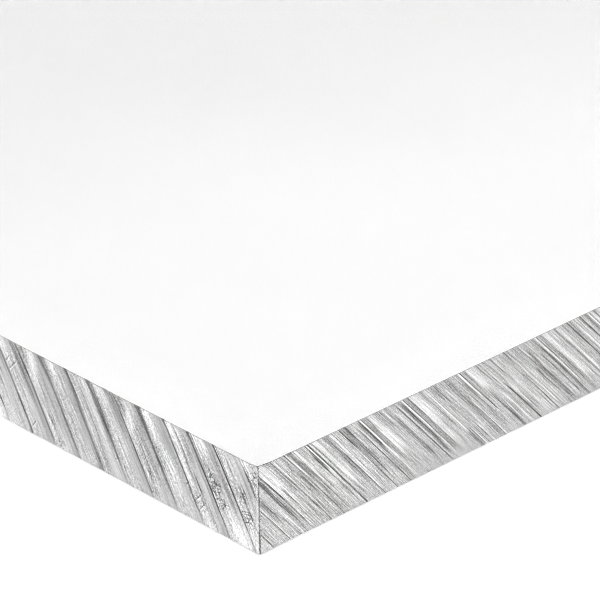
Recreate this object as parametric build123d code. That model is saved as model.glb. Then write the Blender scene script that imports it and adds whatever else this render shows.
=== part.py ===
"""A cut-to-size square of clear polycarbonate sheet, lying flat.

The sheet is one extruded piece of solid plastic, sawn square on all four edges. Its two faces are flat,
every arris is scraped just enough to take the burr off, and the top of the front left corner is worn.

Millimetres, +Z up. The origin is the middle of the underside, +X runs along the front edge and +Y away
from it, so the worn corner is at the lowest X and Y.
"""

import os

from build123d import *

INCH = 25.4

# Stock size: a nominal half-inch sheet, cut one foot square
sheet_width = 12 * INCH
sheet_length = 12 * INCH
sheet_thickness = 0.5 * INCH

# Scraped arris: the leg of the 45 degree break along each edge of the slab
arris_leg = 0.2

# Worn corner: how far the flat of the wear runs along the front edge, along the left edge and down the arris
wear_along_front = 2.6
wear_along_left = 1.1
wear_down_arris = 5.5


def sawn_slab():
    """The sheet as the saw leaves it, standing on the origin, with its arrises scraped."""
    slab = Box(
        sheet_width,
        sheet_length,
        sheet_thickness,
        align=(Align.CENTER, Align.CENTER, Align.MIN),
    )
    return chamfer(slab.edges(), arris_leg)


def wear_plane():
    """The plane of the wear, through one point on each of the three edges that meet at the corner."""
    corner = Vector(-sheet_width / 2, -sheet_length / 2, sheet_thickness)
    on_front = corner + Vector(wear_along_front, 0, 0)
    on_left = corner + Vector(0, wear_along_left, 0)
    on_arris = corner - Vector(0, 0, wear_down_arris)
    outward = (on_arris - on_left).cross(on_front - on_left)
    return Plane(origin=on_front, z_dir=outward)


def worn_sheet():
    """The slab without the sliver that the wear has taken from its front left corner."""
    return split(sawn_slab(), bisect_by=wear_plane(), keep=Keep.BOTTOM)


sheet = worn_sheet()
sheet.label = "polycarbonate_sheet"

os.makedirs("parts", exist_ok=True)
export_step(sheet, f"parts/{sheet.label}.step")
print(f"{sheet.label}: {len(sheet.solids())} solid, {sheet.volume / 1000:.1f} cm3, {len(sheet.faces())} faces")
print("size", sheet.bounding_box().size)
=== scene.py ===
import math

import bpy
import numpy as np
from mathutils import Matrix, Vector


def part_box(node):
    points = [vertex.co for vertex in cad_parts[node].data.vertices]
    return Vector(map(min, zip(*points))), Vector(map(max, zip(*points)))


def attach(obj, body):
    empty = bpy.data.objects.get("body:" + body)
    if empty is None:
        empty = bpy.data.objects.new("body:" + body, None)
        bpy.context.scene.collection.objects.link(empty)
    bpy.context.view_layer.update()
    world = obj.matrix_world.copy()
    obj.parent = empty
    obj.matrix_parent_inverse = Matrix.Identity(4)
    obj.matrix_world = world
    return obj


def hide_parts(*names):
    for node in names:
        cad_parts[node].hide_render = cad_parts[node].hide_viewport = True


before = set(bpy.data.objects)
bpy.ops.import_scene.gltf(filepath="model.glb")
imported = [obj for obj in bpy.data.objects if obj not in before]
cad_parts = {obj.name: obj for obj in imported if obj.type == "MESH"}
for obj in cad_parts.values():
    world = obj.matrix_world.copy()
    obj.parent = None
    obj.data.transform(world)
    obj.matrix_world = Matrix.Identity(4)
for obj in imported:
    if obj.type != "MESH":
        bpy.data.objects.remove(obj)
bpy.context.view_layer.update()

# A cut-to-size square of thick clear polycarbonate, lying on a white bench. Metres, +Z up, in the frame of
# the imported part. The camera stands near the front left corner and looks along the diagonal.

MM = 0.001
SHEET_NODE = "polycarbonate_sheet"
LOW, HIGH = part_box(SHEET_NODE)
WIDTH = HIGH.x - LOW.x
LENGTH = HIGH.y - LOW.y
THICKNESS = HIGH.z - LOW.z

# The scraped arris: the radius along the top and bottom of each sawn edge, and at the four upright corners
ARRIS_RADIUS = 0.12 * MM
UPRIGHT_RADIUS = 0.35 * MM
ARRIS_STEPS = 3

# The mean tone of each cut, as it is to look
COARSE_TONE = 0.781
FINE_TONE = 0.751
# The light is brighter than white, so the tones are lowered by this much to look as they are meant to
EDGE_GAIN = 0.870

# Worn corner: how far the two flats of the wear run along the front edge, along the left edge and down the
# upright arris, and how far in they meet at the top
WEAR_FRONT = 3.4 * MM
WEAR_LEFT = 2.5 * MM
WEAR_DOWN = 5.5 * MM
WEAR_IN = 0.38 * MM

# The lean of the saw marks: how far a mark moves along the edge for each length that it goes down. The left
# and right edges were cut with a coarse blade, and the front and back edges with a fine one.
COARSE_LEAN = 0.60
FINE_LEAN = 0.838
FINE_LEAN_GAIN = 0.090
FINE_LEAN_START = 12 * MM
FINE_LEAN_REACH = 40 * MM
MARK_BOW = 0.04

# How far apart the columns of the edge's grid are, close to the corner in view and elsewhere, and over what
# length the one spacing grows into the other
NEAR_COLUMN = 0.10 * MM
FAR_COLUMN = 0.85 * MM
NEAR_LEFT = 60 * MM
NEAR_FRONT = 69 * MM
COLUMN_GROWTH = 25 * MM
COLUMN_TRIALS = 60000
ROW_HEIGHT = 0.50 * MM


# The outline and the grid of rows and columns round it

QUARTER = math.pi / 2 * UPRIGHT_RADIUS
RUNS = np.array([QUARTER, WIDTH - 2 * UPRIGHT_RADIUS, QUARTER, LENGTH - 2 * UPRIGHT_RADIUS] * 2)
RUN_STARTS = np.concatenate([[0], np.cumsum(RUNS)[:-1]])
RUN_CURVES = np.array([1 / UPRIGHT_RADIUS, 0] * 4)
RUN_HEADINGS = np.concatenate([[-math.pi / 2], -math.pi / 2 + np.cumsum(RUNS * RUN_CURVES)[:-1]])
GIRTH = RUNS.sum()


def step_along(heading, turn, distance):
    """The chord of an arc: distance times sin(turn/2)/(turn/2), towards heading plus half the turn."""
    reach = distance * np.sinc(turn / (2 * math.pi))
    return reach * np.cos(heading + turn / 2), reach * np.sin(heading + turn / 2)


RUN_STEPS = np.array(step_along(RUN_HEADINGS, RUNS * RUN_CURVES, RUNS))
FIRST_POINT = np.array([[LOW.x], [LOW.y + UPRIGHT_RADIUS]])
RUN_POINTS = FIRST_POINT + np.concatenate([np.zeros((2, 1)), np.cumsum(RUN_STEPS, axis=1)[:, :-1]], axis=1)


def outline(along):
    """The sheet's outline seen from above, at each distance along it from the middle of the worn corner.

    It is four straight sides joined by quarter circles. The heading turns by distance over radius on a
    corner and stays on a side, and the outward direction is the heading turned clockwise by a right angle.
    Returns x, y and the heading.
    """
    place = (along + QUARTER / 2) % GIRTH
    run = np.searchsorted(RUN_STARTS, place, side="right") - 1
    distance = place - RUN_STARTS[run]
    turn = RUN_CURVES[run] * distance
    dx, dy = step_along(RUN_HEADINGS[run], turn, distance)
    return RUN_POINTS[0][run] + dx, RUN_POINTS[1][run] + dy, RUN_HEADINGS[run] + turn


def ease(x):
    """3x^2 - 2x^3 between 0 and 1: a soft step."""
    x = np.clip(x, 0, 1)
    return x * x * (3 - 2 * x)


def fine_share(along):
    """1 on the finely cut front and back edges, 0 on the coarse left and right ones: the squared cosine of
    the outline's heading, so that it changes over the rounding of each upright corner."""
    return np.cos(outline(along)[2]) ** 2


def coarse_lean(along):
    return COARSE_LEAN + 0 * along


def fine_lean(along):
    """The fine marks lean a little more the further they are from the worn corner."""
    return FINE_LEAN + FINE_LEAN_GAIN * ease((along - FINE_LEAN_START) / FINE_LEAN_REACH)


def both_leans(along):
    """How far a mark moves along the edge per length down, blended between the two cuts."""
    share = fine_share(along)
    return coarse_lean(along) * (1 - share) + fine_lean(along) * share


# A mark keeps its number, which is the integral of distance / lean up to where it crosses, less how far down
# that is. The tables below turn a place on the outline into that integral. They go once round to each side,
# because a number on a coarse edge is that of a place much further along a fine one.
SURVEY_STEPS = 180000
SURVEY = np.linspace(-GIRTH, GIRTH, SURVEY_STEPS + 1)
SURVEY_STEP = SURVEY[1] - SURVEY[0]


def survey_numbers(lean):
    """The running sum of step / lean along the outline, 0 at the worn corner."""
    numbers = np.concatenate([[0], np.cumsum(SURVEY_STEP / lean(SURVEY[:-1] + SURVEY_STEP / 2))])
    return numbers - np.interp(0, SURVEY, numbers)


NUMBERS = survey_numbers(both_leans)
COARSE_NUMBERS = survey_numbers(coarse_lean)
FINE_NUMBERS = survey_numbers(fine_lean)


def mark_number(along):
    return np.interp(along, SURVEY, NUMBERS)


def crossing(number):
    return np.interp(number, NUMBERS, SURVEY)


def column_spacing(along):
    """NEAR_COLUMN beside the corner in view, growing to FAR_COLUMN over the next COLUMN_GROWTH."""
    beyond = np.maximum(along - NEAR_FRONT, -NEAR_LEFT - along)
    return NEAR_COLUMN + (FAR_COLUMN - NEAR_COLUMN) * ease(beyond / COLUMN_GROWTH)


def column_places():
    """Places of the columns on the top arris: the integral of 1 / spacing, cut into equal parts."""
    trial = np.linspace(-GIRTH / 2, GIRTH / 2, COLUMN_TRIALS + 1)
    spacing = column_spacing((trial[1:] + trial[:-1]) / 2)
    count = np.concatenate([[0], np.cumsum(np.diff(trial) / spacing)])
    columns = int(round(count[-1]))
    return np.interp(np.arange(columns) * count[-1] / columns, count, trial)


def row_profile():
    """How far down each row lies and how far in the rounded arris sets it: a quarter circle at the top,
    even rows down the edge, and a quarter circle at the bottom."""
    angle = np.linspace(0, math.pi / 2, ARRIS_STEPS + 1)
    arc_down = ARRIS_RADIUS * (1 - np.cos(angle))
    arc_in = ARRIS_RADIUS * (1 - np.sin(angle))
    rows = int(round((THICKNESS - 2 * ARRIS_RADIUS) / ROW_HEIGHT))
    wall = np.linspace(ARRIS_RADIUS, THICKNESS - ARRIS_RADIUS, rows + 1)[1:-1]
    down = np.concatenate([arc_down, wall, THICKNESS - arc_down[::-1]])
    inset = np.concatenate([arc_in, np.zeros(len(wall)), arc_in[::-1]])
    return down, inset


# Random streaks and mottle: how many random numbers each holds before they come again
STREAK_CELLS = 4096
MOTTLE_CELLS = (512, 128)


def streaks(across, width, seed):
    """Value noise on a line: random numbers from -1 to 1, one per width, joined by soft steps."""
    values = np.random.default_rng(seed).uniform(-1, 1, STREAK_CELLS)
    place = across / width
    cell = np.floor(place).astype(int)
    blend = ease(place - cell)
    return values[cell % STREAK_CELLS] * (1 - blend) + values[(cell + 1) % STREAK_CELLS] * blend


def mottle(across, down, width, height, seed):
    """Value noise on a plane: random numbers from -1 to 1 on a grid of width by height, softly joined."""
    values = np.random.default_rng(seed).uniform(-1, 1, MOTTLE_CELLS)
    u, v = across / width, down / height
    iu, iv = np.floor(u).astype(int), np.floor(v).astype(int)
    bu, bv = ease(u - iu), ease(v - iv)

    def knot(aside, below):
        return values[(iu + aside) % MOTTLE_CELLS[0], (iv + below) % MOTTLE_CELLS[1]]

    upper = knot(0, 0) * (1 - bu) + knot(1, 0) * bu
    lower = knot(0, 1) * (1 - bu) + knot(1, 1) * bu
    return upper * (1 - bv) + lower * bv


def broken_streaks(across, down, kinds):
    """The shade and the depth that some kinds of long broken streaks add up to. Each kind is a mottle with
    its width, its length, its seed, its share of the shade and its share of the depth."""
    shade, depth = 0, 0
    for width, length, seed, shade_share, depth_share in kinds:
        streak = mottle(across, down, width, length, seed)
        shade = shade + shade_share * streak
        depth = depth + depth_share * streak
    return shade, depth


def bump(x, width):
    """exp(-(x / width)^2): a soft ridge."""
    return np.exp(-((x / width) ** 2))


# The saw marks beside the worn corner, set one by one. Each has its place on the top arris (the front edge is
# positive), its half width, how much brighter or darker it is than the rest before the boldness below, and
# how far down it starts and ends. Millimetres.
# Part of each change is the plastic's own tone, where the saw burnished or frosted it, and part is painted
# shade in the grooves and painted highlight on the ridges.
COARSE_MARKS = [
    (-52.6, 0.3, -0.37, -2, 14), (-51.6, 0.5, 0.06, -2, 3), (-51.3, 0.14, 0.12, 6.5, 11),
    (-50.4, 0.2, 0.13, 5.5, 14), (-49.9, 0.16, 0.15, 1.5, 5), (-49.1, 0.75, -0.12, -2, 6.5),
    (-48.9, 0.6, -0.06, 6, 14), (-48, 0.28, -0.29, -2, 3.5), (-47.87, 0.23, -0.37, 2.6, 12),
    (-47, 0.6, -0.11, -2, 1.8), (-45.7, 0.11, -0.19, 3.2, 6.4), (-45.5, 0.14, 0.2, 6.6, 9.4),
    (-46.9, 0.15, 0.22, 7.3, 10.8), (-46.3, 0.22, -0.2, 7.6, 10.4), (-44.4, 0.9, -0.06, 1, 9.5),
    (-44.8, 0.8, 0.05, 9.5, 14), (-42.85, 0.8, -0.2, -2, 2.4), (-42.1, 0.14, -0.14, -2, 2.4),
    (-42.78, 0.3, -0.29, 2, 8), (-42.9, 0.34, -0.21, 7.6, 12.2), (-42.05, 0.3, -0.07, 3, 10),
    (-40.95, 0.85, 0.14, -2, 2.6), (-39.45, 0.14, 0.18, 0.8, 3.2), (-41.65, 0.22, 0.11, 2.8, 9),
    (-41.1, 0.1, -0.08, 3, 12), (-39.6, 0.18, 0.13, 5, 8), (-40.2, 1.2, 0.04, 4, 14),
    (-37.5, 0.28, -0.35, -2, 3), (-37.7, 0.6, -0.175, 2, 5.8), (-38.05, 0.34, -0.24, 5, 12.4),
    (-38.7, 0.3, -0.08, 4, 12.5), (-36.9, 0.2, 0.17, 2, 8.5), (-37, 0.12, 0.15, 9, 10.5),
    (-35.65, 0.12, -0.18, -2, 4.5), (-35.85, 0.12, -0.18, 4, 8), (-36.1, 0.12, -0.15, 7.5, 11.4),
    (-34.5, 0.9, 0.06, -2, 7), (-35, 0.7, 0.04, 7, 13), (-32.9, 0.75, -0.17, -2, 6.2),
    (-33, 0.3, -0.2, 4.5, 9), (-33.15, 0.26, -0.19, 8.5, 12.5), (-33.6, 0.16, 0.12, 9.2, 10.6),
    (-31.5, 0.3, 0.14, -2, 1.8), (-31.3, 0.13, 0.15, 6.8, 10), (-30.5, 0.13, 0.12, 6.8, 9),
    (-30.9, 0.8, 0.04, -2, 8), (-29, 0.75, -0.145, -2, 4.8), (-28.6, 0.5, -0.08, 5, 12),
    (-27.95, 0.28, -0.27, -2, 2.8), (-28, 0.22, -0.39, 2.4, 9), (-27.95, 0.22, -0.3, 8.5, 12),
    (-27.1, 0.6, -0.1, -2, 2.4), (-26.1, 0.12, -0.24, 3.4, 8.8), (-26.65, 0.22, -0.25, 8.7, 10.2),
    (-27.1, 0.25, 0.15, 8.4, 10.8), (-24.6, 0.9, -0.04, -2, 9), (-23.2, 0.65, -0.2, -2, 3),
    (-23, 0.2, -0.14, 1.2, 2.6), (-23.3, 0.3, -0.3, 3, 7.4), (-23.1, 0.2, -0.2, 6.2, 7.4),
    (-22.6, 0.3, -0.16, 5.8, 7.6), (-23.2, 0.34, -0.25, 7.2, 12), (-21.5, 0.95, 0.16, -2, 2.8),
    (-22.2, 0.14, 0.15, 7.2, 10), (-21.75, 0.14, 0.11, 7.6, 12.4), (-21.1, 0.14, 0.14, 6.6, 10.6),
    (-20.3, 0.16, 0.1, 4.4, 7), (-20.6, 0.9, 0.04, 3, 14), (-19.2, 0.6, -0.07, -2, 4.5),
    (-18.1, 0.31, -0.35, -2, 3.6), (-18.15, 0.21, -0.39, 3.2, 8.4), (-18.3, 0.2, -0.27, 8.4, 10.6),
    (-18.1, 0.2, -0.2, 10.4, 12.3), (-17.2, 0.5, 0.12, -2, 7.6), (-16.9, 0.12, 0.12, 1, 4),
    (-16.2, 0.1, -0.2, -2, 3), (-15.8, 0.16, 0.2, -2, 3.3), (-16.4, 0.26, -0.2, 3.9, 6.4),
    (-15.75, 0.13, -0.38, 5.8, 8.4), (-15.9, 0.18, -0.2, 8.8, 10.2), (-16.6, 0.9, 0.12, 10.6, 14),
    (-15.3, 0.11, -0.15, 9.8, 12.6), (-14.9, 0.6, -0.045, -2, 4.5), (-13.9, 0.35, -0.09, -2, 14),
    (-13.42, 0.27, -0.39, -2, 4.4), (-13.27, 0.21, -0.43, 4, 9.6), (-13.25, 0.2, -0.25, 9.4, 12.4),
    (-12.85, 0.1, 0.26, 7, 10), (-12.7, 0.16, -0.18, -2, 5), (-12.35, 0.14, 0.21, -2, 3),
    (-11.75, 0.28, 0.15, -2, 2.4), (-10.9, 0.4, 0.12, -2, 2), (-10.4, 1.5, 0.15, 9, 14),
    (-9.85, 0.13, 0.13, 7.8, 12), (-9.5, 0.5, -0.09, -2, 9), (-8.45, 0.17, -0.41, -2, 2.4),
    (-8.4, 0.2, -0.35, 2, 5), (-8.35, 0.2, -0.43, 4.6, 6.4), (-8.35, 0.18, -0.24, 6.2, 7.6),
    (-8.35, 0.16, -0.37, 7.4, 10), (-8.3, 0.15, -0.21, 9.8, 12.2), (-8.12, 0.09, 0.18, -2, 2.4),
    (-7.87, 0.12, -0.31, -2, 2.4), (-7.85, 0.12, -0.17, 2.2, 4.4), (-7.3, 0.42, 0.1, -2, 4),
    (-6.6, 0.14, -0.22, 0.9, 3.3), (-6.05, 0.14, 0.22, 0.7, 3.6), (-6.2, 0.16, -0.25, 4.4, 6.6),
    (-5.5, 0.13, -0.35, 4, 5.4), (-4.9, 0.8, 0.06, 0.6, 3), (-4.3, 0.4, -0.08, 0.5, 5),
    (-3.45, 0.2, -0.28, 1.4, 4.6), (-3.5, 0.12, -0.21, 1.7, 2.5), (-3.2, 0.11, 0.26, -2, 1.6),
    (-2.95, 0.11, -0.26, 0.2, 1.8), (-38.5, 5, -0.024, -30, 44),
]
FINE_MARKS = [
    (-7.6, 0.1, -0.1, 9.5, 14), (-5.2, 0.12, -0.28, 6.5, 14), (-5, 0.08, 0.12, 7, 13),
    (-4.2, 0.36, -0.13, 5, 9.5), (-3.94, 0.09, -0.24, 5, 8), (-3.8, 0.09, 0.2, 9, 14),
    (-3.4, 0.08, -0.2, 10, 14), (-3.1, 0.5, 0.07, 3.5, 8.5), (-2.8, 0.09, 0.2, 9, 14),
    (-2.14, 0.09, -0.2, 3.5, 14), (-1.8, 0.38, -0.18, 2, 10), (-1.42, 0.07, 0.16, 1.6, 5),
    (-1.04, 0.1, -0.49, 1.2, 6.6), (-1.04, 0.1, -0.16, 6.6, 11), (-0.85, 0.08, 0.16, 2, 12),
    (-0.55, 0.26, 0.11, 1, 7), (-0.22, 0.08, -0.2, 0.6, 4), (0.02, 0.09, -0.28, 5, 8),
    (0, 0.07, -0.12, 0, 3.5), (0.35, 0.55, 0.165, -2, 4.6), (0.3, 0.1, 0.1, 6, 12),
    (1.1, 0.08, -0.12, 0, 10), (1.66, 0.42, -0.11, -2, 6), (0.2, 0.9, 0.03, 3, 10),
    (2.13, 0.1, -0.18, -2, 9.5), (2.13, 0.09, -0.16, 9, 14), (2.38, 0.09, 0.26, -2, 8.5),
    (2.6, 0.07, -0.14, -2, 4.5), (3.3, 0.5, 0.06, -2, 3.5), (3.9, 0.5, -0.08, 3.4, 7),
    (4.45, 0.11, -0.34, -2, 3.8), (4.45, 0.11, -0.18, 3.8, 14), (4.73, 0.1, 0.29, -2, 4.6),
    (4.75, 0.09, 0.12, 4.6, 9), (5.25, 0.36, -0.16, -2, 5), (5.2, 0.3, -0.1, 5, 9),
    (5.7, 0.09, -0.24, 2.2, 9), (5.8, 0.07, 0.2, -2, 2), (6.05, 0.24, 0.13, 4, 7),
    (6.35, 0.33, 0.15, -2, 4.5), (6.83, 0.08, -0.14, -2, 2.5), (6.95, 0.12, 0.15, 3.8, 7.5),
    (7.8, 0.17, -0.47, 2.2, 5.6), (7.75, 0.09, -0.2, 5.2, 8.5), (7.83, 0.16, -0.17, 8.5, 11.5),
    (8.05, 0.09, -0.45, -2, 4.4), (8.28, 0.09, 0.27, -2, 7), (8.29, 0.1, 0.2, 8, 12.5),
    (8.56, 0.14, -0.5, -2, 14), (8.82, 0.12, 0.18, -2, 9), (9.2, 0.1, -0.24, -2, 6.5),
    (9.5, 0.08, 0.16, -2, 2), (9.75, 0.35, 0.165, -2, 8.5), (9.85, 0.09, 0.12, 6, 11),
    (10.5, 0.3, 0.04, -2, 10), (11.5, 0.34, -0.125, -2, 9), (11.87, 0.09, -0.24, -2, 2.2),
    (11.85, 0.1, -0.27, 3.5, 14), (12.08, 0.07, -0.2, -2, 2.4), (12.05, 0.1, 0.25, 5.2, 10.5),
    (12.42, 0.16, 0.21, -2, 6.4), (12.4, 0.09, 0.17, 6, 10.5), (13.2, 0.45, 0.02, -2, 9),
    (14.05, 0.11, -0.34, -2, 3.2), (14.06, 0.1, -0.2, 3, 14), (14.65, 0.42, -0.13, -2, 8.5),
    (15.12, 0.1, -0.34, -2, 2.2), (14.82, 0.08, -0.22, 3.8, 9.5), (15.14, 0.08, -0.22, 2.4, 8),
    (15.5, 0.16, 0.15, 2.2, 5), (16.45, 0.11, -0.32, 1.2, 13), (16.68, 0.08, 0.14, 0.8, 6),
    (17.25, 0.26, -0.205, 0.6, 6.5), (17.1, 0.3, -0.11, 6.5, 13), (17.52, 0.12, -0.34, -2, 5.2),
    (17.82, 0.1, 0.315, -2, 8), (17.8, 0.07, 0.2, 7.5, 12.5), (17.97, 0.07, 0.16, 7.5, 12.5),
    (18.07, 0.09, -0.3, -2, 6), (18.55, 0.34, -0.1, -2, 9), (18.95, 0.08, -0.28, -2, 2.3),
    (19.02, 0.1, 0.19, 2.5, 9.5), (19.65, 0.62, 0.16, -2, 7), (19.88, 0.12, 0.12, 2.8, 6.5),
    (20.33, 0.07, -0.14, -2, 3), (20.65, 0.07, -0.16, -2, 3), (21.1, 0.45, -0.055, -2, 4),
    (21.3, 0.11, -0.2, -2, 3.2), (21.78, 0.1, 0.17, -2, 2.2), (22.35, 0.12, -0.14, 2.8, 10),
    (22.4, 0.55, -0.065, 2, 13), (22.68, 0.12, -0.18, 1.8, 10.5), (23.25, 0.28, 0.09, 2.2, 7.5),
    (24.05, 0.11, -0.36, 1, 12.5), (24.27, 0.07, 0.12, 1, 9), (24.75, 0.26, -0.215, 0.3, 11),
    (25.05, 0.13, -0.34, 0.6, 8.5), (25.44, 0.1, 0.34, -2, 6.5), (25.44, 0.08, 0.21, 6.5, 12),
    (25.68, 0.09, -0.3, -2, 11), (26.15, 0.28, -0.12, -2, 11), (26.48, 0.09, -0.26, -2, 3.5),
    (26.5, 0.08, -0.14, 3.5, 10), (26.72, 0.1, 0.16, -2, 10), (27.2, 0.48, 0.155, -2, 9.2),
    (27.95, 0.4, 0.09, -2, 5.5), (28.85, 0.14, -0.16, -2, 7.5), (29.47, 0.15, 0.26, -2, 9.2),
    (29.6, 0.28, -0.205, 9.5, 14), (30.1, 0.08, -0.22, 8.5, 14), (30.3, 0.09, 0.22, 9.5, 14),
    (30.7, 0.1, -0.17, -2, 2.4), (31.2, 0.11, -0.34, -2, 3.6), (31.45, 0.08, -0.16, -2, 1.4),
    (30.75, 0.07, -0.16, 8.6, 14), (31.4, 0.07, -0.14, 8, 12), (31.7, 0.12, 0.18, 9, 13.5),
    (32.25, 0.13, 0.15, 1.8, 9.5), (33.35, 0.36, -0.13, -2, 12), (33.8, 0.08, -0.22, 6, 14),
    (33.95, 0.1, 0.27, 5, 12.5), (35.2, 0.26, -0.13, 1.5, 9), (35.5, 0.12, -0.24, -2, 4.5),
    (35.85, 0.12, 0.37, -2, 4.8), (36.12, 0.11, -0.32, -2, 8), (36.65, 0.3, -0.08, -2, 6),
    (37.02, 0.08, -0.24, -2, 2.3), (37.55, 0.42, 0.18, -2, 4.4), (38.35, 0.45, 0.08, -2, 6.5),
    (37.4, 0.27, -0.16, 5.6, 14), (37.35, 0.2, -0.12, 8.5, 14), (38.85, 0.18, 0.19, 6.2, 12.5),
    (39.2, 0.12, -0.16, -2, 3.4), (40, 0.15, 0.18, -2, 6.2), (40.4, 0.13, -0.48, 5.2, 14),
    (40.95, 0.18, 0.24, 4.8, 9.6), (41.25, 0.09, -0.2, 6.8, 10.5), (41.85, 0.1, -0.33, -2, 3.4),
    (42, 0.08, -0.16, 3, 5), (42.25, 0.2, 0.12, 4.2, 12), (42.9, 0.6, 0.045, 3, 12),
    (45.3, 0.7, 0.045, 2, 12), (47.2, 0.7, -0.055, 2, 13), (43.9, 0.25, -0.1, 0.5, 4),
    (44.4, 0.1, -0.2, -2, 2.2), (43.93, 0.11, -0.31, 4.6, 14), (44.12, 0.08, 0.2, 7.5, 13),
    (44.72, 0.12, 0.24, 3.8, 11), (46.4, 0.12, -0.28, 4.8, 14), (46.95, 0.09, -0.22, -2, 3.8),
    (47.2, 0.1, 0.24, -2, 2.6), (47.6, 0.12, -0.26, 1.8, 4.2), (47.3, 0.3, -0.12, 4, 12),
    (47.55, 0.08, -0.16, 5, 12), (48, 0.12, 0.16, 2.8, 6), (48.5, 0.1, 0.18, -2, 1.6),
    (49, 0.12, -0.34, 3.2, 11.5), (49.9, 0.26, -0.19, -2, 13), (50.05, 0.14, -0.2, 2, 7.5),
    (50.47, 0.11, 0.32, -2, 9.5), (50.75, 0.09, -0.3, -2, 11), (51.45, 0.34, -0.12, -2, 12.5),
    (51.9, 0.08, 0.18, -2, 6), (52.4, 0.5, 0.17, -2, 9.2), (54.25, 0.2, -0.2, -2, 12.5),
    (54.72, 0.24, 0.2, -2, 9.5), (56.45, 0.08, 0.12, -2, 2), (56.7, 0.12, -0.44, -2, 8.5),
    (57.2, 0.3, -0.08, -2, 9), (57.82, 0.14, 0.24, -2, 9), (59.25, 0.12, -0.44, -2, 9),
    (60.1, 0.2, -0.17, -2, 9), (60.35, 0.2, -0.26, -2, 9), (60.85, 0.1, 0.28, -2, 9),
    (61.1, 0.1, -0.26, -2, 9), (61.45, 0.1, 0.18, -2, 9), (62, 0.11, -0.28, -2, 9),
]

# A mark counts as broad from this half width on, and then shows more boldly than a narrow one
BROAD_COARSE = 0.40
BROAD_FINE = 0.25


def coarse_boldness(place, half_width):
    """What a coarse mark's change is multiplied by: from 0.88 to 1.26 between the half widths 0.3 and 0.7 mm,
    times 1.15 for broad marks and for those beside the worn corner, and times 0.9 for narrow ones on two
    stretches further off."""
    faint = (place < -44) | ((place > -38.2) & (place < -32))
    stretch = np.select([(half_width >= BROAD_COARSE) | (place > -14), faint], [1.15, 0.9], 1.0)
    return (0.88 + 0.38 * ease((half_width - 0.3) / 0.4)) * stretch


def fine_boldness(place, half_width):
    """What a fine mark's change is multiplied by: 0.89, times a share that is largest for broad marks and
    for those beside the worn corner, and a little under 1 on two stretches of narrow ones."""
    broad = half_width >= BROAD_FINE
    faint = ((place >= 24) & (place < 30)) | (place >= 48)
    cases = [broad & (place < 12), broad, place < 0, place < 6, faint]
    return 0.89 * np.select(cases, [1.35, 1.2, 1.25, 1.1, 0.92], 1.0)


# How softly a mark ends, and how many half widths from its middle it is drawn
MARK_ENDS = 1.0 * MM
MARK_REACH = 1.8

# The coarse blade leaves its boldest line once a turn. Ten turns of its marks, and 52 mm of the fine ones,
# come again and again round the rest of the sheet, each time a little different.
COARSE_LINES = np.array([-52.6, -47.85, -42.75, -37.9, -33.1, -28.05, -23.2, -18.15, -13.25, -8.4, -3.6]) * MM
COARSE_STRETCH = (-52.8, -3.6)
FINE_STRETCH = (9.0, 61.1)
COARSE_DEPTH = 0.13 * MM
FINE_DEPTH = 0.05 * MM
# How much the marks change each time: their places and ends (mm), and the least and most of their strength
AGAIN_SHIFT = 0.08
AGAIN_ENDS = 1.0
AGAIN_STRENGTH = (0.6, 1.15)


def again(rows, boldness, stretch, seed):
    """The marks as boldly as they show, and on both sides of them those in the stretch, moved by whole
    lengths of it and slightly changed."""
    marks = np.array(rows)
    marks[:, 2] *= boldness(marks[:, 0], marks[:, 1])
    length = stretch[1] - stretch[0]
    first, last = marks[:, 0].min(), marks[:, 0].max()
    inside = marks[(marks[:, 0] >= stretch[0]) & (marks[:, 0] < stretch[1])]
    dice = np.random.default_rng(seed)
    turns = int(GIRTH / MM / length) + 1
    drawn_rows = [marks]
    for turn in range(-turns, turns + 1):
        if turn == 0:
            continue
        moved = inside.copy()
        moved[:, 0] += turn * length + dice.normal(0, AGAIN_SHIFT, len(moved))
        moved[:, 2] *= dice.uniform(*AGAIN_STRENGTH, len(moved))
        moved[:, 3:] += dice.normal(0, AGAIN_ENDS, (len(moved), 2))
        drawn_rows.append(moved[(moved[:, 0] < first) | (moved[:, 0] > last)])
    return np.concatenate(drawn_rows) * [MM, MM, 1, MM, MM]


def drawn(marks, across, down):
    """The sum of the marks: each is its change times exp(-|offset / half width|^3), with ends that are
    softer for a wider mark. Where the columns are far apart, a mark is drawn wider and weaker."""
    total = np.zeros_like(across)
    first = across[0]
    coarseness = 0.5 * (column_spacing(marks[:, 0]) - NEAR_COLUMN)
    widths = np.hypot(marks[:, 1], coarseness)
    changes = marks[:, 2] * marks[:, 1] / widths
    for place, half_width, change, (start, end) in zip(marks[:, 0], widths, changes, marks[:, 3:]):
        near = np.flatnonzero(np.abs(first - place) < MARK_REACH * half_width)
        if len(near) == 0:
            continue
        offset = np.abs(across[:, near] - place) / half_width
        soft_end = MARK_ENDS + 4 * half_width
        begun = ease((down[:, near] - start) / soft_end + 0.5)
        unended = ease((end - down[:, near]) / soft_end + 0.5)
        total[:, near] += change * np.exp(-(offset**3)) * begun * unended
    return total


# Between two bold lines of the coarse cut the share q goes from 0 to 1 towards the worn corner. LINE_RISE is
# the share over which the surface rises out of a line, and LINE_SINK the power with which it sinks back. Just
# after a line the edge is painted paler, a painted highlight on the slope rising out of it, by the third
# number below; the highlight comes in over the share given by the fourth.
LINE_RISE = 0.12
LINE_SINK = 1.3
LINE_PAINTED_HIGHLIGHT = 0.08
LINE_PAINTED_HIGHLIGHT_RISE = 0.15

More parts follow.
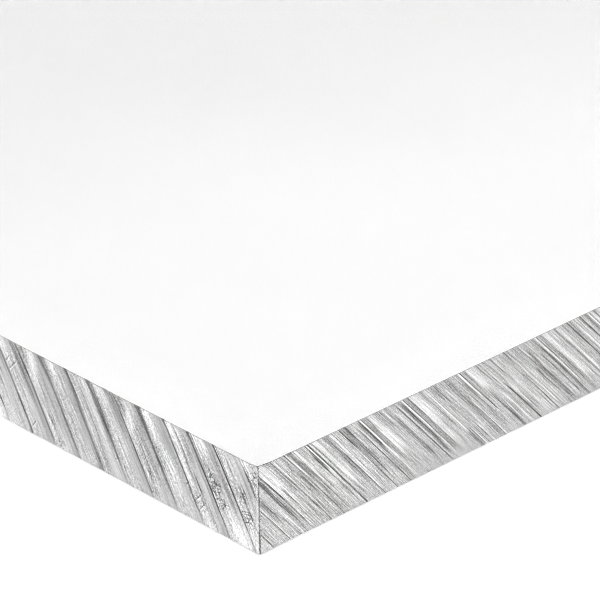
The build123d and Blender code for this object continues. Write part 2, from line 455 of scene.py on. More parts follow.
# Broken streaks of both cuts: width, length, seed, and what they add to the shade and to the depth
COARSE_STREAKS = [
    (0.20 * MM, 3.5 * MM, 27, 0.062, 0),
    (0.36 * MM, 6.0 * MM, 23, 0.055, 0.010 * MM),
    (0.75 * MM, 8.0 * MM, 24, 0.045, 0.014 * MM),
]
FINE_STREAKS = [
    (0.17 * MM, 8.0 * MM, 63, 0.074, 0.008 * MM),
    (0.28 * MM, 15.0 * MM, 64, 0.042, 0.012 * MM),
    (0.60 * MM, 22.0 * MM, 65, 0.025, -0.3 * FINE_DEPTH),
]
WIDE_STREAK = 2.4 * MM
WIDE_STREAK_SHADE = 0.015

# Where the stretch beside the worn corner begins and ends, each with the length of its soft step
COARSE_CLOSE = (-40 * MM, 25 * MM, 30 * MM, 18 * MM)
FINE_CLOSE = (-30 * MM, 18 * MM, 26 * MM, 22 * MM)

# What the marks add to the shade of the coarse cut, far from the corner and further beside it, to that of
# the fine cut, and to the depth of each
COARSE_MARK_SHADE = 1.2
COARSE_MARK_CLOSER = 0.16
FINE_MARK_SHADE = 1.15
COARSE_MARK_DEPTH = -0.04 * MM
FINE_MARK_DEPTH = -0.07 * MM


def closeness(across, begin, growing, end, fading):
    """1 beside the worn corner and 0 before begin and past end, with soft steps growing and fading long."""
    return ease((across - begin) / growing) * ease((end - across) / fading)


def coarse_cut(across, down):
    """Depth, shade and graininess of the coarse cut.

    The surface rises fast out of a bold line, as ease(q / LINE_RISE), and sinks slowly back into the next,
    as (1 - q)^LINE_SINK. Just after a line the shade is painted paler, a painted highlight on the slope that
    rises out of it, which falls off a little with q. The shade is also paler at the top and the bottom, and
    the marks, partly the plastic's own tone and partly painted shade and highlight, and long broken streaks
    of three widths are added to it. Beside the worn corner the marks are bolder and the grain is stronger.
    The grain is calmer towards the next line and stronger on pale marks.
    """
    stretch = (COARSE_STRETCH[1] - COARSE_STRETCH[0]) * MM
    turns = int(GIRTH / 2 / stretch) + 2
    lines = (np.arange(-turns, turns + 1)[:, None] * stretch + COARSE_LINES[None, :-1]).ravel()
    left = np.clip(np.searchsorted(lines, across, side="right") - 1, 0, len(lines) - 2)
    q = (across - lines[left]) / (lines[left + 1] - lines[left])
    sunk = down / THICKNESS

    marks = drawn(again(COARSE_MARKS, coarse_boldness, COARSE_STRETCH, 7), across, down)
    slow = mottle(across, down, 5 * MM, 4 * MM, 21)
    rough = mottle(across, down, 2.2 * MM, 3 * MM, 22)
    streak_shade, streak_depth = broken_streaks(across, down, COARSE_STREAKS)
    closer = closeness(across, *COARSE_CLOSE)
    grain = 0.95 + 0.35 * rough - 0.45 * ease((q - 0.35) / 0.4) + 2.0 * np.clip(marks, 0, 0.25)
    grain = grain * (0.84 + 0.40 * closer)

    # painted highlight just after each bold line, standing in for the light on the slope that rises out of it
    painted_slope_light = LINE_PAINTED_HIGHLIGHT * (1 - q) * ease(q / LINE_PAINTED_HIGHLIGHT_RISE) - 0.025
    marks = marks * (COARSE_MARK_SHADE + COARSE_MARK_CLOSER * closer)
    shade = COARSE_TONE + painted_slope_light + marks * (1 + 0.15 * slow + 0.25 * rough) + 0.02 * slow
    paler_top = 0.045 * ease(1 - sunk / 0.25) - 0.01
    paler_bottom = 0.07 * ease((sunk - 0.55) / 0.45)
    shade = shade + streak_shade + paler_top + paler_bottom

    rise = ease(q / LINE_RISE) * (1 - q) ** LINE_SINK
    depth = COARSE_DEPTH * (1 - rise) + streak_depth + COARSE_MARK_DEPTH * marks
    return depth, shade, grain


def fine_cut(across, down):
    """Depth, shade and graininess of the fine cut.

    The shade is the sum of its marks, each a ridge or a groove, partly the plastic's own tone and partly
    painted shade in the grooves and painted highlight on the ridges, and of long broken streaks of four
    widths, which are calmer towards the bottom and on pale marks and stronger beside the worn corner. It
    gets a little paler towards the bottom.
    """
    sunk = down / THICKNESS
    marks = drawn(again(FINE_MARKS, fine_boldness, FINE_STRETCH, 31), across, down)
    slow = mottle(across, down, 3 * MM, 4 * MM, 61)
    streak_shade, streak_depth = broken_streaks(across, down, FINE_STREAKS)
    streak_shade = streak_shade + WIDE_STREAK_SHADE * streaks(across, WIDE_STREAK, 66)
    closer = closeness(across, *FINE_CLOSE)
    grain = (1.0 - 1.2 * np.clip(marks, 0, 0.3)) * (0.88 + 0.32 * closer)

    shade = FINE_TONE + FINE_MARK_SHADE * marks * (1 + 0.12 * slow) + 0.015 * slow
    shade = shade + streak_shade * (1.1 - 0.5 * sunk) * grain
    shade = shade + 0.034 * (sunk - 0.52) + 0.025 * ease((sunk - 0.7) / 0.3)
    depth = 0.6 * FINE_DEPTH + streak_depth + FINE_MARK_DEPTH * marks
    return depth, shade, grain


# Damage to the sawn edges

# Places on the edge beside the worn corner where the plastic tore or melted: how far along (towards the
# front is positive), how far down, half the size each way, and how badly it is torn
TORN_PLACES = [
    (-8.8, 4.7, 0.9, 1.0, 1.0), (-8.0, 6.2, 1.2, 1.3, 1.0), (-7.0, 8.0, 1.2, 0.9, 0.9),
    (-5.9, 8.0, 0.5, 0.4, 0.6), (-2.1, 8.1, 1.2, 0.9, 1.0), (-1.5, 9.1, 0.8, 0.7, 0.7),
    (-2.9, 5.4, 0.6, 1.0, 0.7), (-1.2, 2.1, 1.0, 1.4, 1.0), (-0.6, 3.9, 0.6, 1.2, 0.7),
    (5.45, 2.85, 0.4, 0.5, 0.8), (4.6, 9.2, 0.4, 0.5, 0.6), (7.3, 9.7, 0.35, 0.7, 0.5),
    (-11.3, 9.5, 1.1, 1.2, 0.45), (-19.9, 11.6, 1.2, 0.7, 0.6), (-20.9, 9.5, 0.5, 0.6, 0.6),
    (-19.4, 4.5, 0.9, 1.2, 0.35), (-20.7, 1.3, 1.2, 1.0, 0.3), (-26.2, 1.2, 0.9, 0.9, 0.35),
    (-39.5, 11.6, 1.2, 0.8, 0.6), (-40.8, 9.2, 0.6, 1.1, 0.6), (-39.6, 1.4, 1.2, 1.0, 0.4),
    (-46.0, 1.1, 0.8, 0.8, 0.35),
]

# Soft pale patches: how far along and down, how far each moves along per length down, half its width and
# half its height, and how much brighter it is
PALE_PATCHES = [
    (-44.45, 2.6, 0.19, 0.90, 2.5, 0.18), (-24.75, 2.7, 0.06, 0.90, 2.6, 0.18),
    (-1.6, 10.6, 0.0, 1.2, 1.6, 0.05),
]

# Scratches that cross the saw marks, each from one place to another, along and down
SCRATCHES = [
    (-49.98, 3.3, -49.41, 2.4), (-49.37, 4.3, -48.06, 2.9), (-45.05, 11.5, -44.30, 10.5),
    (-27.95, 9.85, -27.55, 9.65), (-12.18, 9.7, -11.00, 8.4), (-11.46, 10.9, -10.40, 9.6),
    (-13.90, 8.0, -13.30, 7.4), (-6.30, 8.05, -5.60, 7.95), (-3.16, 7.6, -1.63, 7.3),
    (-1.63, 7.3, -1.10, 8.4), (-2.50, 9.0, -1.85, 8.75),
]

# Small bites out of the top arris and out of the bottom one: places along, how many random ones come
# further off, from where on, and their least and greatest half width
CHIP_PLACES = np.array([-4.9, -8.2, -13.2, -18.1, -22.6, -29.7, -33.2, -37.6, -42.2, 1.4, 5.2])
LOW_CHIP_PLACES = np.array([-3.7, -4.5, -5.7, -9.8, -13.6, -22.4, -31.0, -44.0, 12.2, 30.5])
FAR_CHIPS = 110
FAR_CHIPS_FROM = 60 * MM
CHIP_SIZES = (0.25, 0.6)
LOW_CHIP_SIZE = 0.28 * MM
LOW_CHIP_SHARE = 0.7
CHIP_FADE = 0.45 * MM
LOW_CHIP_FADE = 0.5 * MM
# Beyond this place random patches of the coarse edges are torn too, less badly
FAR_TORN_FROM = 58 * MM
FAR_TORN_SHARE = 0.7


def torn(along, down):
    """How torn the edge is: the highest of the soft round patches at TORN_PLACES, and of random ones on
    the rest of the coarse edges."""
    share = np.zeros_like(along)
    for centre, low, half_along, half_down, badly in np.array(TORN_PLACES) * [MM, MM, MM, MM, 1]:
        reach = ((along - centre) / half_along) ** 2 + ((down - low) / half_down) ** 2
        share = np.maximum(share, badly * ease(1.35 - reach))
    patches = mottle(along, down, 3.1 * MM, 2.3 * MM, 41)
    away = ease((np.abs(along) - FAR_TORN_FROM) / (6 * MM)) * (1 - fine_share(along))
    return np.maximum(share, FAR_TORN_SHARE * away * ease((patches - 0.66) * 5))


def pale_patches(along, down):
    """The sum of PALE_PATCHES: each is its change times exp(-(offset / half width)^2 - (rise / half
    height)^2), where the offset is measured from a leaning middle line."""
    total = np.zeros_like(along)
    patches = np.array(PALE_PATCHES) * [MM, MM, 1, MM, MM, 1]
    for centre, low, lean, half_width, half_height, change in patches:
        rise = down - low
        total += change * bump(along - centre - lean * rise, half_width) * bump(rise, half_height)
    return total


def chips(along, down):
    """How bitten the edge is: ridges at the places above and at the random ones, fading with the distance
    from the arris."""
    bite = np.zeros_like(along)
    low_bite = np.zeros_like(along)
    dice = np.random.default_rng(43)
    far = dice.uniform(-GIRTH / 2, GIRTH / 2, FAR_CHIPS)
    places = np.concatenate([CHIP_PLACES * MM, far[np.abs(far) > FAR_CHIPS_FROM]])
    sizes = dice.uniform(*CHIP_SIZES, len(places)) * MM
    for centre, size in zip(places, sizes):
        bite += bump(along - centre, size) * size / (CHIP_SIZES[1] * MM)
    for centre in LOW_CHIP_PLACES * MM:
        low_bite += bump(along - centre, LOW_CHIP_SIZE) * LOW_CHIP_SHARE
    return bite.clip(0, 1) * bump(down, CHIP_FADE) + low_bite * bump(THICKNESS - down, LOW_CHIP_FADE)


# The sheet's mesh: how deep tears and chips go, the deepest that a cut may be, and over what height the
# scraped arris flattens the cut
TEAR_DEPTH = 0.05 * MM
TEAR_PITS = 0.07 * MM
CHIP_DEPTH = 0.22 * MM
DEEPEST = 0.3 * MM
SCRAPED_HEIGHT = 1.2 * MM
# The painted shade along the rounded top arris: its tone, how much of it shows, and how much darker it is
# painted beside the worn corner
ARRIS_PAINTED_SHADE_TONE = 0.64
ARRIS_SHARE = 0.75
ARRIS_PAINTED_SHADE_BY_CORNER = 0.11
# How much painted shade darkens the chips, in their small recesses, and the very top of the worn corner
CHIP_PAINTED_SHADE = 0.16
CAP_PAINTED_SHADE = 0.16


def wear(points):
    """Points past either flat of the wear are put back onto it, along its normal. Both flats hold the line
    from the place where they meet at the top to one WEAR_DOWN below the corner."""
    corner = np.array([LOW.x, LOW.y, HIGH.z])
    meeting = corner + [WEAR_IN, WEAR_IN, 0]
    on_upright = corner - [0, 0, WEAR_DOWN]
    for on_arris, facing in (([WEAR_FRONT, 0, 0], [0, -1, 0]), ([0, WEAR_LEFT, 0], [-1, 0, 0])):
        outward = np.cross(corner + on_arris - meeting, on_upright - meeting)
        outward *= np.sign(outward @ facing) / np.linalg.norm(outward)
        past = np.clip((points - meeting) @ outward, 0, None)
        points = points - past[..., None] * outward
    return points


def sheet_mesh():
    """The whole sheet as one closed mesh: a band of rows and columns round the sawn edges, and two flats.

    Column i keeps mark number c_i, so on row j it lies at crossing(c_i + down_j) along the outline, moved
    in by the arris's inset and the depth of the cut, and down_j below the top.
    """
    down, inset = row_profile()
    number = mark_number(column_places())
    bowed = down + MARK_BOW * down * (1 - down / THICKNESS)
    along = crossing(number[None, :] + bowed[:, None])
    depth_down = np.repeat(down[:, None], along.shape[1], axis=1)
    across = np.repeat(number[None, :], along.shape[0], axis=0)

    x, y, heading = outline(along)
    share = np.cos(heading) ** 2
    rounding = np.sin(2 * heading) ** 2
    depth_c, shade_c, grain_c = coarse_cut(np.interp(across, COARSE_NUMBERS, SURVEY), depth_down)
    depth_f, shade_f, grain_f = fine_cut(np.interp(across, FINE_NUMBERS, SURVEY), depth_down)
    ripped = torn(along, depth_down)
    bitten = chips(along, depth_down)
    pits = mottle(along, depth_down, 0.42 * MM, 0.5 * MM, 51)

    depth = depth_c * (1 - share) + depth_f * share
    depth = depth + ripped * (TEAR_DEPTH + TEAR_PITS * pits) + bitten * CHIP_DEPTH
    scraped = ease(np.minimum(depth_down, THICKNESS - depth_down) / SCRAPED_HEIGHT)
    depth = np.clip(depth, 0, DEEPEST) * (1 - 0.7 * rounding) * (0.15 + 0.85 * scraped)
    moved_in = depth + inset[:, None] * (1 - 0.3 * rounding)
    points = np.stack(
        [x - moved_in * np.sin(heading), y + moved_in * np.cos(heading), HIGH.z - depth_down],
        axis=-1,
    )
    points = wear(points)

    shade = shade_c * (1 - share) + shade_f * share + pale_patches(along, depth_down)
    # painted shade: a thin grey line along the rounded top arris, darker beside the worn corner
    arris = ARRIS_SHARE * (1 - ease((depth_down - 0.03 * MM) / (0.12 * MM)))
    by_corner = ease(1.6 - np.abs(along - 4 * MM) / (6 * MM))
    shade = shade + (ARRIS_PAINTED_SHADE_TONE - ARRIS_PAINTED_SHADE_BY_CORNER * share * by_corner - shade) * arris
    # painted shade at the very top of the worn corner
    cap = ease(1.5 - np.abs(along) / (0.5 * MM))
    shade = shade - CAP_PAINTED_SHADE * cap * (1 - ease((depth_down - 0.10 * MM) / (0.30 * MM)))
    # painted shade in the chips
    shade = shade - CHIP_PAINTED_SHADE * bitten

    quarter_turn = (along + 0.25 * WIDTH) % (GIRTH / 4) - 0.25 * WIDTH
    near_upright = ease(1.5 - np.abs(quarter_turn) / (3 * MM))

    rows, columns = along.shape
    i = np.arange(columns)
    after = (i + 1) % columns
    j = np.arange(rows - 1)[:, None]
    quads = np.stack(
        [j * columns + i, (j + 1) * columns + i, (j + 1) * columns + after, j * columns + after],
        axis=-1,
    ).reshape(-1, 4)
    top_flat = list(range(columns))
    bottom_flat = list(range(rows * columns - 1, (rows - 1) * columns - 1, -1))
    mesh = bpy.data.meshes.new("sawn_sheet")
    mesh.from_pydata(points.reshape(-1, 3).tolist(), [], quads.tolist() + [top_flat, bottom_flat])

    faces = len(quads) + 2
    smooth = np.ones(faces, bool)
    smooth[-2:] = False
    finish = np.ones(faces, np.int32)
    finish[-2:] = 0
    mesh.polygons.foreach_set("use_smooth", smooth)
    mesh.polygons.foreach_set("material_index", finish)

    turn_number = mark_number(np.array([GIRTH / 2]))[0] - mark_number(np.array([-GIRTH / 2]))[0]
    right = np.concatenate([number[1:], [number[0] + turn_number]])
    u = np.stack([across[:-1], across[:-1], right + 0 * across[:-1], right + 0 * across[:-1]], axis=-1)
    v = np.stack([depth_down[:-1], depth_down[1:], depth_down[1:], depth_down[:-1]], axis=-1)
    along_right = np.concatenate([along[:, 1:], along[:, :1] + GIRTH], axis=1)
    a = np.stack([along[:-1], along[1:], along_right[1:], along_right[:-1]], axis=-1)
    flats = np.zeros((2 * columns, 2))
    lay_map(mesh, "marks", u / MM, v / MM, flats)
    lay_map(mesh, "place", a / MM, v / MM, flats)
    keep_number(mesh, "saw_shade", shade)
    keep_number(mesh, "grain", grain_c * (1 - share) + grain_f * share)
    keep_number(mesh, "torn", ripped)
    keep_number(mesh, "fine_share", share)
    keep_number(mesh, "from_upright", quarter_turn / MM)
    keep_number(mesh, "near_upright", near_upright)
    mesh.validate()
    return mesh


def lay_map(mesh, name, u, v, flats):
    """A UV map in millimetres: u and v for the corners of each quad, then the corners of the two flats."""
    corners = np.stack([u, v], axis=-1).reshape(-1, 2)
    layer = mesh.uv_layers.new(name=name)
    layer.uv.foreach_set("vector", np.concatenate([corners, flats]).astype(np.float32).ravel())


def keep_number(mesh, name, values):
    """One number per vertex, for the materials to read."""
    attribute = mesh.attributes.new(name, "FLOAT", "POINT")
    attribute.data.foreach_set("value", values.astype(np.float32).ravel())


# Finishes


class Nodes:
    """A node tree, and short ways to add to it."""

    def __init__(self, owner):
        owner.use_nodes = True
        self.tree = owner.node_tree
        self.tree.nodes.clear()

    def add(self, kind, settings=(), **inputs):
        node = self.tree.nodes.new(kind)
        for key, value in dict(settings).items():
            setattr(node, key, value)
        for key, value in inputs.items():
            self.set(node, key.replace("_", " "), value)
        return node

    def set(self, node, socket, value):
        target = node.inputs[int(socket)] if str(socket).isdigit() else node.inputs[socket]
        if isinstance(value, bpy.types.NodeSocket):
            self.tree.links.new(value, target)
        else:
            target.default_value = value

    def math(self, operation, a, b=None, c=None):
        node = self.add("ShaderNodeMath", {"operation": operation})
        for index, value in enumerate((a, b, c)):
            if value is not None:
                self.set(node, index, value)
        return node.outputs[0]

    def noise(self, vector, scale, detail=2.0, rough=0.5, dimensions="3D"):
        sizes = {"Vector": vector, "Scale": scale, "Detail": detail, "Roughness": rough}
        return self.add("ShaderNodeTexNoise", {"noise_dimensions": dimensions}, **sizes).outputs["Fac"]

    def lumps(self, vector, per_mm, detail, rough, turn=0):
        """Noise on a plane from -0.5 to 0.5, with per_mm lumps a millimetre each way."""
        scaled = self.mapped(vector, (*per_mm, 1), (0, 0, turn))
        return self.math("SUBTRACT", self.noise(scaled, 1.0, detail, rough, "2D"), 0.5)

    def soft_step(self, value, empty, full):
        """0 where the value is at empty and 1 where it is at full, with a soft step between."""
        soft = {"interpolation_type": "SMOOTHSTEP"}
        step = self.add("ShaderNodeMapRange", soft, Value=value, From_Min=empty, From_Max=full)
        return step.outputs["Result"]

    def ridge(self, value, foot, crest):
        """1 where the value is within crest of 0, and 0 where it is further from it than foot."""
        return self.soft_step(self.math("ABSOLUTE", value), foot, crest)

    def mapped(self, vector, scale=(1, 1, 1), turn=(0, 0, 0)):
        return self.add("ShaderNodeMapping", Vector=vector, Scale=scale, Rotation=turn).outputs[0]

    def ramp(self, value, stops):
        node = self.add("ShaderNodeValToRGB", Fac=value)
        marks = node.color_ramp.elements
        marks.remove(marks[-1])
        marks[0].position = stops[0][0]
        for place, _ in stops[1:]:
            marks.new(place)
        for mark, (_, level) in zip(marks, stops):
            mark.color = (level, level, level, 1)
        return node.outputs["Color"]

    def plastic(self, **inputs):
        surface = self.add("ShaderNodeBsdfPrincipled", **inputs)
        self.add("ShaderNodeOutputMaterial", Surface=surface.outputs[0])


CLEAR_IOR = 1.585
# How much light the plastic lets through, and the tint close to the edges, raised there as painted light that
# stands in for the light the sawn edges scatter into it
CLEAR_TINT = 0.928
CLEAR_TINT_WITH_EDGE_LIGHT = 0.995
PAINTED_EDGE_LIGHT_REACH = 12 * MM


def clear_face_finish():
    """The sheet's own flat faces: clear and glossy, with faint long ripples, a trace of handling haze, and a
    tint raised near the edges as painted light.
    """
    material = bpy.data.materials.new("clear_glossy_face")
    nodes = Nodes(material)
    place = nodes.add("ShaderNodeTexCoord").outputs["Object"]
    ripple = nodes.noise(nodes.mapped(place, (14, 5, 14)), 1.0, 1.0)
    haze = nodes.noise(place, 38.0, 3.0, 0.6)
    speck = nodes.noise(place, 900.0, 1.0)
    roughness = nodes.math("MULTIPLY_ADD", nodes.math("MULTIPLY", haze, speck), 0.05, 0.008)
    raised = nodes.add("ShaderNodeBump", Strength=0.08, Distance=0.002, Height=ripple)
    apart = nodes.add("ShaderNodeSeparateXYZ", Vector=place)
    margins = [
        nodes.math("SUBTRACT", half, nodes.math("ABSOLUTE", apart.outputs[axis]))
        for half, axis in ((WIDTH / 2, "X"), (LENGTH / 2, "Y"))
    ]
    # painted light: the tint is raised near the edges
    painted_edge_light = nodes.soft_step(nodes.math("MINIMUM", *margins), PAINTED_EDGE_LIGHT_REACH, 0.0)
    tone = nodes.math("MULTIPLY_ADD", painted_edge_light, CLEAR_TINT_WITH_EDGE_LIGHT - CLEAR_TINT, CLEAR_TINT)
    tint = nodes.add("ShaderNodeCombineColor", Red=tone, Green=tone, Blue=tone)
    nodes.plastic(
        Base_Color=tint.outputs[0],
        Roughness=roughness,
        IOR=CLEAR_IOR,
        Transmission_Weight=1.0,
        Normal=raised.outputs[0],
    )
    return material


# Lumps a millimetre, along and down, of each pattern on the sawn edges
HAIRS = 4.8
PEBBLES = (3.6, 3.4)
BIG_PEBBLES = (2.6, 2.4)
STROKES = (1.6, 5.5)
BLOTS = (1.9, 1.5)
CURLS = (2.3, 1.8)
WAVER = (0.0, 0.9)
STROKE_TURN = math.radians(-52)
# How much each brightens or darkens the edge
STROKE_SHADE = 0.16
BLOT_SHADE = 0.70
# painted shade in the curls of torn places, and painted highlight on the rim beside each
CURL_PAINTED_SHADE = -0.29
CURL_PAINTED_HIGHLIGHT = 0.11
# painted shade in each scratch, and painted highlight on its lower side
SCRATCH_PAINTED_SHADE = -0.27
SCRATCH_PAINTED_HIGHLIGHT = 0.14
# painted shade of the line down each upright corner, more at its ends
UPRIGHT_PAINTED_SHADE = -0.25
UPRIGHT_ENDS_PAINTED_SHADE = -0.24
# The painted shade line down each rounded upright corner (mm): how far from the middle of the corner, how
# far it wavers, and where the painted highlight beside it is
UPRIGHT_PLACE = 0.09
UPRIGHT_WAVER = 0.45
PAINTED_HIGHLIGHT_SIDE = 0.42
# The least and the greatest level, how much light the palest places let through, and how the level that is
# seen turns into the share of light that is thrown back
LEAST_LEVEL = 0.24
GREATEST_LEVEL = 1.08
SAWN_TRANSMISSION = 0.20
SEEN_POWER = 2.2


def grain_level(nodes, marks, place, fine, pebble):
    """Hairs that follow the marks, longer on the fine cut; pebbles, mostly small ones on the fine cut and
    large ones on the coarse cut; and short strokes across the marks."""
    number = nodes.add("ShaderNodeSeparateXYZ", Vector=marks)
    hair_aside = nodes.math("MULTIPLY", number.outputs["X"], HAIRS)
    hair_pace = nodes.math("MULTIPLY_ADD", fine, -0.25, 0.50)
    hair_down = nodes.math("MULTIPLY", number.outputs["Y"], hair_pace)
    hair_place = nodes.add("ShaderNodeCombineXYZ", X=hair_aside, Y=hair_down)
    hair = nodes.math("SUBTRACT", nodes.noise(hair_place.outputs[0], 1.0, 2.0, 0.8, "2D"), 0.5)
    big_pebble = nodes.lumps(place, BIG_PEBBLES, 1.5, 0.7)
    stroke = nodes.lumps(place, STROKES, 1.0, 0.6, STROKE_TURN)
    grain = nodes.math("MULTIPLY", hair, nodes.math("MULTIPLY_ADD", fine, 0.06, 0.76))
    grain = nodes.math("MULTIPLY_ADD", pebble, nodes.math("MULTIPLY_ADD", fine, 0.38, 0.12), grain)
    grain = nodes.math("MULTIPLY_ADD", big_pebble, nodes.math("MULTIPLY_ADD", fine, -0.48, 0.48), grain)
    return nodes.math("MULTIPLY_ADD", stroke, STROKE_SHADE, grain)


def tear_level(nodes, place):
    """Blots, with curls of painted shade and a rim of painted highlight beside each, which are contour lines
    of a smooth noise.
    """
    blot = nodes.lumps(place, BLOTS, 2.0, 0.6)
    curl = nodes.lumps(place, CURLS, 1.5, 0.6)
    curl_shade_line = nodes.ridge(curl, 0.10, 0.03)
    curl_highlight_line = nodes.ridge(nodes.math("ADD", curl, -0.14), 0.09, 0.03)
    tear = nodes.math("MULTIPLY", blot, BLOT_SHADE)
    tear = nodes.math("MULTIPLY_ADD", curl_shade_line, CURL_PAINTED_SHADE, tear)
    return nodes.math("MULTIPLY_ADD", curl_highlight_line, CURL_PAINTED_HIGHLIGHT, tear)


def scratch_level(nodes, place, scratch):
    """A thin line of painted shade across the marks with a painted highlight on its lower side, and how far
    one is within its length.
    """
    start_along, start_down, end_along, end_down = scratch
    half_run = math.hypot(end_along - start_along, end_down - start_down) / 2
    middle = ((start_along + end_along) / 2, (start_down + end_down) / 2, 0)
    turn = (0, 0, math.atan2(end_down - start_down, end_along - start_along))
    texture = {"vector_type": "TEXTURE"}
    move = nodes.add("ShaderNodeMapping", texture, Vector=place, Location=middle, Rotation=turn)
    apart = nodes.add("ShaderNodeSeparateXYZ", Vector=move.outputs[0])
    within = nodes.ridge(apart.outputs["X"], half_run + 0.08, half_run - 0.08)
    dark = nodes.ridge(apart.outputs["Y"], 0.12, 0.03)
    pale = nodes.ridge(nodes.math("ADD", apart.outputs["Y"], -0.20), 0.13, 0.03)
    dark = nodes.math("MULTIPLY", dark, SCRATCH_PAINTED_SHADE)
    return nodes.math("MULTIPLY_ADD", pale, SCRATCH_PAINTED_HIGHLIGHT, dark), within


def upright_level(nodes, place, from_upright):
    """Painted shade down an upright corner, a thin wavering line boldest at its ends, and a painted
    highlight.
    """
    sunk = nodes.add("ShaderNodeSeparateXYZ", Vector=place).outputs["Y"]
    waver = nodes.lumps(place, WAVER, 2.0, 0.5)
    from_line = nodes.math("ADD", from_upright, -UPRIGHT_PLACE)
    from_line = nodes.math("MULTIPLY_ADD", waver, -UPRIGHT_WAVER, from_line)
    ends = nodes.math("ADD", nodes.soft_step(sunk, 2.0, 0.6), nodes.soft_step(sunk, 8.5, 11.0))
    boldness = nodes.math("MULTIPLY_ADD", ends, UPRIGHT_ENDS_PAINTED_SHADE, UPRIGHT_PAINTED_SHADE)
    painted_shade_line = nodes.math("MULTIPLY", nodes.ridge(from_line, 0.16, 0.05), boldness)
    painted_highlight = nodes.ridge(nodes.math("ADD", from_line, PAINTED_HIGHLIGHT_SIDE), 0.26, 0.08)
    highlight_share = nodes.math("MULTIPLY_ADD", nodes.soft_step(sunk, 3.0, 8.0), 0.07, 0.05)
    return nodes.math("MULTIPLY_ADD", painted_highlight, highlight_share, painted_shade_line)


def sawn_edge_finish():
    """The sawn edges: frosted plastic, paler and darker along the marks, partly its own tone and partly
    painted shade and highlight, with grain along and across them, tears where the plastic broke out, and a
    painted shade line with a painted highlight beside it down each upright corner."""
    material = bpy.data.materials.new("frosted_sawn_edge")
    nodes = Nodes(material)
    marks = nodes.add("ShaderNodeUVMap", {"uv_map": "marks"}).outputs[0]
    place = nodes.add("ShaderNodeUVMap", {"uv_map": "place"}).outputs[0]

    def kept(name):
        return nodes.add("ShaderNodeAttribute", {"attribute_name": name}).outputs["Fac"]

    ripped = kept("torn")
    pebble = nodes.lumps(place, PEBBLES, 2.0, 0.8)
    graininess = nodes.math("ADD", kept("grain"), nodes.math("MULTIPLY", ripped, 0.5))
    grain = grain_level(nodes, marks, place, kept("fine_share"), pebble)
    grain = nodes.math("MULTIPLY", grain, graininess)
    tear = nodes.math("MULTIPLY", tear_level(nodes, place), ripped)
    for scratch in SCRATCHES:
        line, within = scratch_level(nodes, place, scratch)
        tear = nodes.math("MULTIPLY_ADD", line, within, tear)
    # painted shade and painted highlight down each upright corner
    upright = upright_level(nodes, place, kept("from_upright"))
    upright = nodes.math("MULTIPLY", upright, kept("near_upright"))

    level = nodes.math("ADD", nodes.math("ADD", kept("saw_shade"), grain), nodes.math("ADD", tear, upright))
    level = nodes.math("MINIMUM", nodes.math("MAXIMUM", level, LEAST_LEVEL), GREATEST_LEVEL)
    albedo = nodes.math("POWER", nodes.math("MULTIPLY", level, EDGE_GAIN), SEEN_POWER)
    colour = nodes.add("ShaderNodeCombineColor", Red=albedo, Green=albedo, Blue=albedo)
    height = nodes.math("MULTIPLY_ADD", tear, 1.5, grain)
    raised = nodes.add("ShaderNodeBump", Strength=0.5, Distance=0.00008, Height=height)
    clearer = nodes.math("MULTIPLY", nodes.soft_step(level, 0.45, 0.80), SAWN_TRANSMISSION)

    nodes.plastic(
        Base_Color=colour.outputs[0],
        Roughness=nodes.math("MULTIPLY_ADD", pebble, 0.3, 0.45),
        IOR=CLEAR_IOR,
        Specular_IOR_Level=0.2,
        Transmission_Weight=clearer,
        Normal=raised.outputs[0],
    )
    return material


# Bench, camera and light

BENCH_DROP = 0.3 * MM
BENCH_HALF = 30.0
BENCH_WHITE = 0.92


def bench_finish():
    material = bpy.data.materials.new("white_bench")
    nodes = Nodes(material)
    white = (BENCH_WHITE, BENCH_WHITE, BENCH_WHITE, 1)
    nodes.plastic(Base_Color=white, Roughness=0.9, Specular_IOR_Level=0.1)
    return material


def bench():
    mesh = bpy.data.meshes.new("bench")
    level = LOW.z - BENCH_DROP
    corners = [(x * BENCH_HALF, y * BENCH_HALF, level) for x, y in ((-1, -1), (1, -1), (1, 1), (-1, 1))]
    mesh.from_pydata(corners, [], [(0, 1, 2, 3)])
    mesh.materials.append(bench_finish())
    made = bpy.data.objects.new("bench", mesh)
    bpy.context.scene.collection.objects.link(made)


# The view: which way the camera faces from +Y towards +X, how far down it looks, how far it is turned, its
# focal length in picture widths, and where the top of the worn corner stands in the picture
VIEW_HEADING = math.radians(42.90008)
VIEW_DROP = math.radians(26.95184)
VIEW_ROLL = math.radians(-0.88124)
PICTURE_SIDE = 600
FOCAL_PIXELS = 3980.7155
CORNER_PIXEL = (257.66, 468.22)
CORNER_DEPTH = 39.58074 * THICKNESS
SENSOR = 36.0


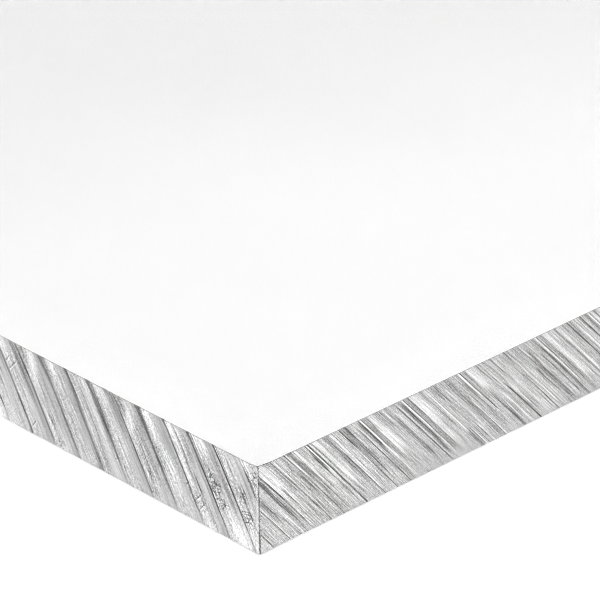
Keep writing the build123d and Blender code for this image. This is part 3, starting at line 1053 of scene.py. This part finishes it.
def camera():
    """Places the camera so that the corner stands at CORNER_PIXEL, CORNER_DEPTH away along the view."""
    ahead = np.array(
        [
            math.sin(VIEW_HEADING) * math.cos(VIEW_DROP),
            math.cos(VIEW_HEADING) * math.cos(VIEW_DROP),
            -math.sin(VIEW_DROP),
        ]
    )
    level = np.array([math.cos(VIEW_HEADING), -math.sin(VIEW_HEADING), 0])
    upright = np.cross(level, ahead)
    right = math.cos(VIEW_ROLL) * level + math.sin(VIEW_ROLL) * upright
    up = -math.sin(VIEW_ROLL) * level + math.cos(VIEW_ROLL) * upright
    across = (CORNER_PIXEL[0] - PICTURE_SIDE / 2) / FOCAL_PIXELS * CORNER_DEPTH
    above = -(CORNER_PIXEL[1] - PICTURE_SIDE / 2) / FOCAL_PIXELS * CORNER_DEPTH
    corner = np.array([LOW.x, LOW.y, HIGH.z])
    stand = corner - across * right - above * up - CORNER_DEPTH * ahead
    data = bpy.data.cameras.new("camera")
    data.sensor_width = SENSOR
    data.lens = FOCAL_PIXELS / PICTURE_SIDE * SENSOR
    data.clip_start = 0.01
    data.clip_end = 100.0
    made = bpy.data.objects.new("camera", data)
    bpy.context.scene.collection.objects.link(made)
    turned = np.eye(4)
    turned[:3] = np.stack([right, up, -ahead, stand], axis=-1)
    made.matrix_world = Matrix(turned.tolist())
    bpy.context.scene.camera = made


# The light: how strong it is, how much lower it reaches on the right of the view, and how bright the sky is
# at each height of its direction, from 0 at the horizon
SKY_STRENGTH = 1.13
SKY_TILT = 0.13
SKY_LEVELS = [
    (0.0, 0.42),
    (0.375, 0.50),
    (0.395, 0.535),
    (0.41, 0.62),
    (0.43, 0.755),
    (0.47, 0.885),
    (0.53, 1.0),
]
# How many stops brighter the picture is made, so that the white bench is just past white
PICTURE_STOPS = 0.86


def studio_light():
    """Even white light from above, soft-edged low down: the level depends on the height of the direction,
    tilted a little so that the light reaches lower on the right of the view."""
    world = bpy.data.worlds.new("studio")
    bpy.context.scene.world = world
    nodes = Nodes(world)
    toward = nodes.add("ShaderNodeTexCoord").outputs["Generated"]
    tilt = (SKY_TILT * math.cos(VIEW_HEADING), -SKY_TILT * math.sin(VIEW_HEADING), 1.0)
    height = nodes.add("ShaderNodeVectorMath", {"operation": "DOT_PRODUCT"})
    nodes.set(height, 0, toward)
    nodes.set(height, 1, tilt)
    light = nodes.ramp(height.outputs["Value"], SKY_LEVELS)
    background = nodes.add("ShaderNodeBackground", Color=light, Strength=SKY_STRENGTH)
    nodes.add("ShaderNodeOutputWorld", Surface=background.outputs[0])


def render_look():
    scene = bpy.context.scene
    scene.view_settings.view_transform = "Standard"
    scene.view_settings.look = "None"
    scene.view_settings.exposure = PICTURE_STOPS
    scene.view_settings.gamma = 1.0
    scene.cycles.max_bounces = 20
    scene.cycles.transmission_bounces = 20
    scene.cycles.glossy_bounces = 16
    scene.cycles.diffuse_bounces = 6
    scene.cycles.sample_clamp_indirect = 8.0
    scene.cycles.use_denoising = True
    scene.cycles.denoising_prefilter = "NONE"
    scene.cycles.denoising_input_passes = "RGB_ALBEDO"
    scene.cycles.filter_width = 0.8


sheet = bpy.data.objects.new("sawn_sheet", sheet_mesh())
bpy.context.scene.collection.objects.link(sheet)
sheet.data.materials.append(clear_face_finish())
sheet.data.materials.append(sawn_edge_finish())
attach(sheet, "root")
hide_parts(SHEET_NODE)
bench()
camera()
studio_light()
render_look()
